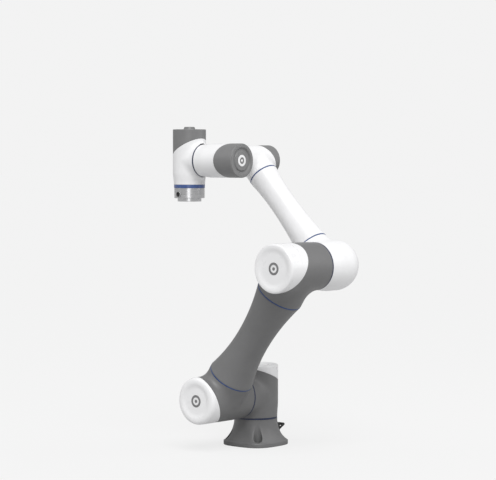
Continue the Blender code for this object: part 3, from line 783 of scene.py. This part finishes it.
# ---- Materials -------------------------------------------
class Finish:
    """A Principled material with short helpers for its procedural texture."""

    def __init__(self, name, metallic=0.0, **constants):
        self.material = bpy.data.materials.new(name)
        self.material.use_nodes = True
        self.nodes = self.material.node_tree.nodes
        self.links = self.material.node_tree.links
        self.shader = self.nodes["Principled BSDF"]
        self.shader.inputs["Metallic"].default_value = metallic
        for socket, value in constants.items():
            self.shader.inputs[socket.replace("_", " ")].default_value = value
        self.place = self.nodes.new("ShaderNodeTexCoord").outputs["Object"]

    def moved(self, point):
        """Coordinates measured from a point."""
        node = self.nodes.new("ShaderNodeMapping")
        node.vector_type = "TEXTURE"
        node.inputs["Location"].default_value = point
        self.links.new(self.place, node.inputs["Vector"])
        return node.outputs["Vector"]

    def noise(self, scale, detail=2.0, roughness=0.5, place=None):
        """A noise pattern with features about 1 / scale metres across."""
        node = self.nodes.new("ShaderNodeTexNoise")
        node.inputs["Scale"].default_value = scale
        node.inputs["Detail"].default_value = detail
        node.inputs["Roughness"].default_value = roughness
        self.links.new(place or self.place, node.inputs["Vector"])
        return node.outputs["Fac"]

    def mapped(self, source, low, high, start=0.3, end=0.7):
        """A pattern spread between two values."""
        node = self.nodes.new("ShaderNodeMapRange")
        for socket, value in zip(("From Min", "From Max", "To Min", "To Max"), (start, end, low, high)):
            node.inputs[socket].default_value = value
        self.links.new(source, node.inputs["Value"])
        return node.outputs["Result"]

    def joined(self, first, second):
        """Two patterns added up."""
        node = self.nodes.new("ShaderNodeMath")
        node.operation = "ADD"
        self.links.new(first, node.inputs[0])
        self.links.new(second, node.inputs[1])
        return node.outputs["Value"]

    def colour(self, source, first, second, start=0.3, end=0.7):
        """Base colour that moves between two colours with a pattern."""
        node = self.nodes.new("ShaderNodeValToRGB")
        for stop, position, colour in zip(node.color_ramp.elements, (start, end), (first, second)):
            stop.position = position
            stop.color = (*colour, 1)
        self.links.new(source, node.inputs["Fac"])
        self.links.new(node.outputs["Color"], self.shader.inputs["Base Color"])

    def rough(self, source, low, high, start=0.3, end=0.7):
        """Roughness that moves between two values with a pattern."""
        self.links.new(self.mapped(source, low, high, start, end), self.shader.inputs["Roughness"])

    def bump(self, source, strength, distance):
        """Fine relief from a pattern."""
        node = self.nodes.new("ShaderNodeBump")
        node.inputs["Strength"].default_value = strength
        node.inputs["Distance"].default_value = distance
        self.links.new(source, node.inputs["Height"])
        self.links.new(node.outputs["Normal"], self.shader.inputs["Normal"])


def shade(value, tint=(1, 1, 1)):
    """A neutral colour of one brightness, tinted."""
    return tuple(value * part for part in tint)


def coated(name, dark, light, rough, grain_scale, grain_strength, tint=(1, 1, 1.01), **constants):
    """Powder coat or moulded plastic: soft tone variation, uneven sheen and a fine grain."""
    finish = Finish(name, **constants)
    broad, grain = finish.noise(22, 4, 0.6), finish.noise(grain_scale, 2, 0.55)
    mix = finish.joined(finish.mapped(broad, 0.1, 0.6), finish.mapped(grain, 0.0, 0.4))
    finish.colour(mix, shade(dark, tint), shade(light, tint), 0.1, 0.9)
    finish.rough(finish.noise(60, 3, 0.6), rough - 0.05, rough + 0.06)
    finish.bump(grain, grain_strength, 0.0002)
    return finish.material


def rubber(name, dark, light, rough):
    """Soft seal: faint mottling and a matt, slightly pitted skin."""
    finish = Finish(name)
    finish.colour(finish.noise(140, 3), dark, light)
    finish.rough(finish.noise(400, 2), rough - 0.06, rough + 0.08)
    finish.bump(finish.noise(1500, 2), 0.10, 0.0001)
    return finish.material


def light_strip():
    """Status light: a milky blue diffuser with a faint glow."""
    finish = Finish("blue_light_diffuser", Subsurface_Weight=0.1, Coat_Weight=0.4, Coat_Roughness=0.12)
    finish.colour(finish.noise(180, 3), (0.036, 0.070, 0.20), (0.048, 0.092, 0.25))
    finish.rough(finish.noise(260, 2), 0.26, 0.38)
    finish.bump(finish.noise(900, 2), 0.06, 0.0001)
    finish.shader.inputs["Emission Color"].default_value = (0.03, 0.09, 0.32, 1)
    finish.shader.inputs["Emission Strength"].default_value = 0.08
    return finish.material


def turned_metal(name, low, high, rough, axis=None):
    """Metal with fine tool marks in rings around an axis along Z, or plain mottled metal."""
    finish = Finish(name, metallic=1.0)
    if axis:
        node = finish.nodes.new("ShaderNodeVectorMath")
        node.operation = "MULTIPLY"
        node.inputs[1].default_value = (1, 1, 0)
        finish.links.new(finish.moved(axis), node.inputs[0])
        length = finish.nodes.new("ShaderNodeVectorMath")
        length.operation = "LENGTH"
        finish.links.new(node.outputs["Vector"], length.inputs[0])
        height = finish.nodes.new("ShaderNodeSeparateXYZ")
        finish.links.new(finish.place, height.inputs[0])
        rings = finish.nodes.new("ShaderNodeCombineXYZ")
        finish.links.new(length.outputs["Value"], rings.inputs["X"])
        finish.links.new(height.outputs["Z"], rings.inputs["Z"])
        marks = finish.noise(2600, 3, 0.6, rings.outputs["Vector"])
    else:
        marks = finish.noise(900, 3, 0.6)
    cloud = finish.noise(45, 3, 0.5)
    tint = (1, 1, 1.015)
    finish.colour(finish.joined(finish.mapped(marks, 0, 0.6), finish.mapped(cloud, 0, 0.4)),
                  shade(low, tint), shade(high, tint), 0.1, 0.9)
    finish.rough(marks, rough - 0.06, rough + 0.08)
    finish.bump(marks, 0.12, 0.00006)
    return finish.material


def windings():
    """Copper wire: fine parallel strands under clear varnish."""
    finish = Finish("varnished_copper", metallic=1.0, Coat_Weight=0.5, Coat_Roughness=0.15)
    wave = finish.nodes.new("ShaderNodeTexWave")
    wave.inputs["Scale"].default_value = 320
    wave.inputs["Distortion"].default_value = 1.5
    finish.links.new(finish.place, wave.inputs["Vector"])
    finish.colour(wave.outputs["Fac"], (0.36, 0.13, 0.05), (0.72, 0.34, 0.16), 0.1, 0.9)
    finish.rough(finish.noise(300, 2), 0.28, 0.42)
    finish.bump(wave.outputs["Fac"], 0.5, 0.0004)
    return finish.material


def circuit():
    """Circuit board: solder mask with lighter tracks and rough component patches."""
    finish = Finish("circuit_mask", Coat_Weight=0.3, Coat_Roughness=0.2)
    cells = finish.nodes.new("ShaderNodeTexVoronoi")
    cells.feature = "DISTANCE_TO_EDGE"
    cells.inputs["Scale"].default_value = 160
    finish.links.new(finish.place, cells.inputs["Vector"])
    finish.colour(cells.outputs["Distance"], (0.05, 0.26, 0.10), (0.012, 0.085, 0.035), 0.02, 0.10)
    finish.rough(finish.noise(200, 2), 0.35, 0.55)
    finish.bump(cells.outputs["Distance"], 0.3, 0.0003)
    return finish.material


def make_finishes():
    """One procedural material for each material slot of the record."""
    metal_axis = (TOOL_AXIS.x, TOOL_AXIS.y, 0)
    return {
        "grey_paint": coated("grey_powder_coat", 0.140, 0.158, 0.46, 900, 0.16),
        "white_paint": coated("white_powder_coat", 0.76, 0.81, 0.38, 1100, 0.10),
        "grey_cover": coated("grey_moulding", 0.165, 0.185, 0.42, 1500, 0.14),
        "white_cover": coated("white_moulding", 0.78, 0.82, 0.30, 1600, 0.05, Coat_Weight=0.25,
                              Coat_Roughness=0.15),
        "navy_seal": rubber("navy_seal", (0.008, 0.014, 0.045), (0.013, 0.024, 0.070), 0.42),
        "trim_blue": rubber("blue_trim", (0.026, 0.058, 0.170), (0.036, 0.078, 0.220), 0.45),
        "blue_light": light_strip(),
        "flange_metal": turned_metal("turned_aluminium", 0.56, 0.68, 0.27, metal_axis),
        "black_plastic": coated("black_moulding", 0.010, 0.016, 0.40, 1200, 0.15),
        "gear_steel": turned_metal("gear_steel", 0.40, 0.52, 0.30),
        "winding_copper": windings(),
        "rotor_steel": turned_metal("rotor_steel", 0.22, 0.30, 0.36),
        "circuit_green": circuit(),
    }


def finish_inner_parts():
    """Put the procedural materials on the CAD parts that sit inside the castings."""
    for node, piece in frame["nodes"].items():
        if not node.startswith("joint_") or node.endswith("_seal"):
            continue
        piece.data.materials.clear()
        piece.data.materials.append(FINISH[SLOT_OF[node]])


# ---- Build -----------------------------------------------
FINISH = make_finishes()

for unit in UNITS:
    housing(unit, FINISH["grey_paint" if unit.large else "white_paint"])
    cover(unit, FINISH["white_cover" if unit.large else "grey_cover"])
    seal(unit)
    if unit.number in (2, 3):
        inlay(unit, 0.0155, 0.0100, 0.0042, -DISH_DEPTH, FINISH["grey_cover"])
    if unit.number in (4, 5):
        inlay(unit, 0.0145, 0.0085, 0.0034, -GROOVE_STEP, FINISH["white_cover"])

elbow(FINISH["white_paint"])
tube("upper_arm", at_plane(SHOULDER, UPPER_ARM_PLANE), UPPER_ARM_WAY, UNITS[1].branch_radius,
     UPPER_ARM_WAIST, UNITS[2].branch_radius, FINISH["grey_paint"])
tube("forearm", at_plane(ELBOW, FOREARM_PLANE), FOREARM_WAY, ELBOW_BRANCH_RADIUS,
     FOREARM_WAIST, UNITS[3].branch_radius, FINISH["white_paint"])
base_casting(FINISH["grey_paint"])
connector(FINISH["black_plastic"])
lever(FINISH["black_plastic"])
flange_plate(FINISH["flange_metal"])
flange_sleeve(FINISH["flange_metal"])
tool_socket(FINISH["flange_metal"], FINISH["black_plastic"])
finish_inner_parts()


# ---- Studio ----------------------------------------------
def floor(glow, answer, bounce):
    """A wide plain pale floor that glows for the camera, takes soft shadows and returns some light."""
    mesh = bpy.data.meshes.new("studio_floor")
    reach = 60
    mesh.from_pydata([(-reach, -reach, 0), (reach, -reach, 0), (reach, reach, 0), (-reach, reach, 0)], [],
                     [(0, 1, 2, 3)])
    material = bpy.data.materials.new("pale_floor")
    material.use_nodes = True
    nodes, links = material.node_tree.nodes, material.node_tree.links
    nodes.clear()
    lit, light, dim = (nodes.new(kind) for kind in
                       ("ShaderNodeBsdfDiffuse", "ShaderNodeEmission", "ShaderNodeBsdfDiffuse"))
    lit.inputs["Color"].default_value = (answer, answer, answer, 1)
    light.inputs["Color"].default_value = (glow, glow, glow, 1)
    dim.inputs["Color"].default_value = (bounce, bounce, bounce, 1)
    both, mix = nodes.new("ShaderNodeAddShader"), nodes.new("ShaderNodeMixShader")
    links.new(lit.outputs["BSDF"], both.inputs[0])
    links.new(light.outputs["Emission"], both.inputs[1])
    links.new(nodes.new("ShaderNodeLightPath").outputs["Is Camera Ray"], mix.inputs["Fac"])
    links.new(dim.outputs["BSDF"], mix.inputs[1])
    links.new(both.outputs["Shader"], mix.inputs[2])
    links.new(mix.outputs["Shader"], nodes.new("ShaderNodeOutputMaterial").inputs["Surface"])
    mesh.materials.append(material)
    piece = bpy.data.objects.new("studio_floor", mesh)
    bpy.context.scene.collection.objects.link(piece)


def add_lamp(data, place, way):
    """Put a light at a place, shining along a direction."""
    lamp = bpy.data.objects.new(data.name, data)
    lamp.location = place
    lamp.rotation_euler = way.to_track_quat("-Z", "Y").to_euler()
    bpy.context.scene.collection.objects.link(lamp)
    return lamp


def area_light(name, place, size, power):
    """A softbox at a place, pointing at the object."""
    data = bpy.data.lights.new(name, "AREA")
    data.shape = "RECTANGLE"
    data.size, data.size_y = size
    data.energy = power
    return add_lamp(data, place, TARGET - place)


def sun_light(name, from_way, spread, power):
    """A broad soft sun that shines from a direction."""
    data = bpy.data.lights.new(name, "SUN")
    data.angle = radians(spread)
    data.energy = power
    add_lamp(data, TARGET, -from_way)


def surroundings(ambient, backdrop):
    """Even pale backdrop for the camera, and dimmer even light from all round for the object."""
    world = bpy.data.worlds.new("studio")
    world.use_nodes = True
    nodes, links = world.node_tree.nodes, world.node_tree.links
    nodes.clear()
    rays = nodes.new("ShaderNodeLightPath")
    mix = nodes.new("ShaderNodeMixShader")
    for index, level in ((1, ambient), (2, backdrop)):
        light = nodes.new("ShaderNodeBackground")
        light.inputs["Color"].default_value = (level, level, level, 1)
        links.new(light.outputs["Background"], mix.inputs[index])
    links.new(rays.outputs["Is Camera Ray"], mix.inputs["Fac"])
    links.new(mix.outputs["Shader"], nodes.new("ShaderNodeOutputWorld").inputs["Surface"])
    bpy.context.scene.world = world


def camera(azimuth, elevation, distance, target, lens):
    """Camera on a sphere round its target: azimuth 0 looks along +Y."""
    data = bpy.data.cameras.new("camera")
    data.lens = lens
    data.sensor_width = 36
    data.sensor_fit = "HORIZONTAL"
    data.clip_end = 200
    eye = bpy.data.objects.new("camera", data)
    turn, rise = radians(azimuth), radians(elevation)
    away = Vector((sin(turn) * cos(rise), -cos(turn) * cos(rise), sin(rise)))
    eye.location = Vector(target) + distance * away
    eye.rotation_euler = (-away).to_track_quat("-Z", "Y").to_euler()
    bpy.context.scene.collection.objects.link(eye)
    bpy.context.scene.camera = eye


VIEW_AZIMUTH = 40.7
VIEW_ELEVATION = 2.38
VIEW_DISTANCE = 5.187
LENS = 144.73
TARGET = Vector((-0.0232, -0.0041, 0.5312))
RIGHT = Vector((cos(radians(VIEW_AZIMUTH)), sin(radians(VIEW_AZIMUTH)), 0))
NEAR = Vector((sin(radians(VIEW_AZIMUTH)), -cos(radians(VIEW_AZIMUTH)), 0))
AMBIENT = 0.50
BACKDROP = 0.895
KEY_POWER = 2.3
KEY_SPREAD = 36
KEY_WAY = (0.62 * NEAR + 0.76 * Z_AXIS + 0.06 * RIGHT).normalized()
FLOOR_ANSWER = 0.12
FLOOR_BOUNCE = 0.55
FLOOR_GLOW = BACKDROP - FLOOR_ANSWER * (AMBIENT + KEY_POWER * KEY_WAY.z / pi)

camera(VIEW_AZIMUTH, VIEW_ELEVATION, VIEW_DISTANCE, TARGET, LENS)
floor(FLOOR_GLOW, FLOOR_ANSWER, FLOOR_BOUNCE)
surroundings(AMBIENT, BACKDROP)
sun_light("key_sun", KEY_WAY, KEY_SPREAD, KEY_POWER)
area_light("left_softbox", TARGET - 2.0 * RIGHT + 0.5 * NEAR + 1.6 * Z_AXIS, (0.8, 2.2), 8)
area_light("right_softbox", TARGET + 2.4 * RIGHT + 0.2 * NEAR + 1.0 * Z_AXIS, (0.8, 2.0), 14)
front_strip = area_light("front_strip", TARGET + 3.0 * NEAR - 0.35 * RIGHT, (1.0, 2.4), 11)
front_strip.visible_diffuse = False
bpy.context.scene.view_settings.view_transform = "Standard"
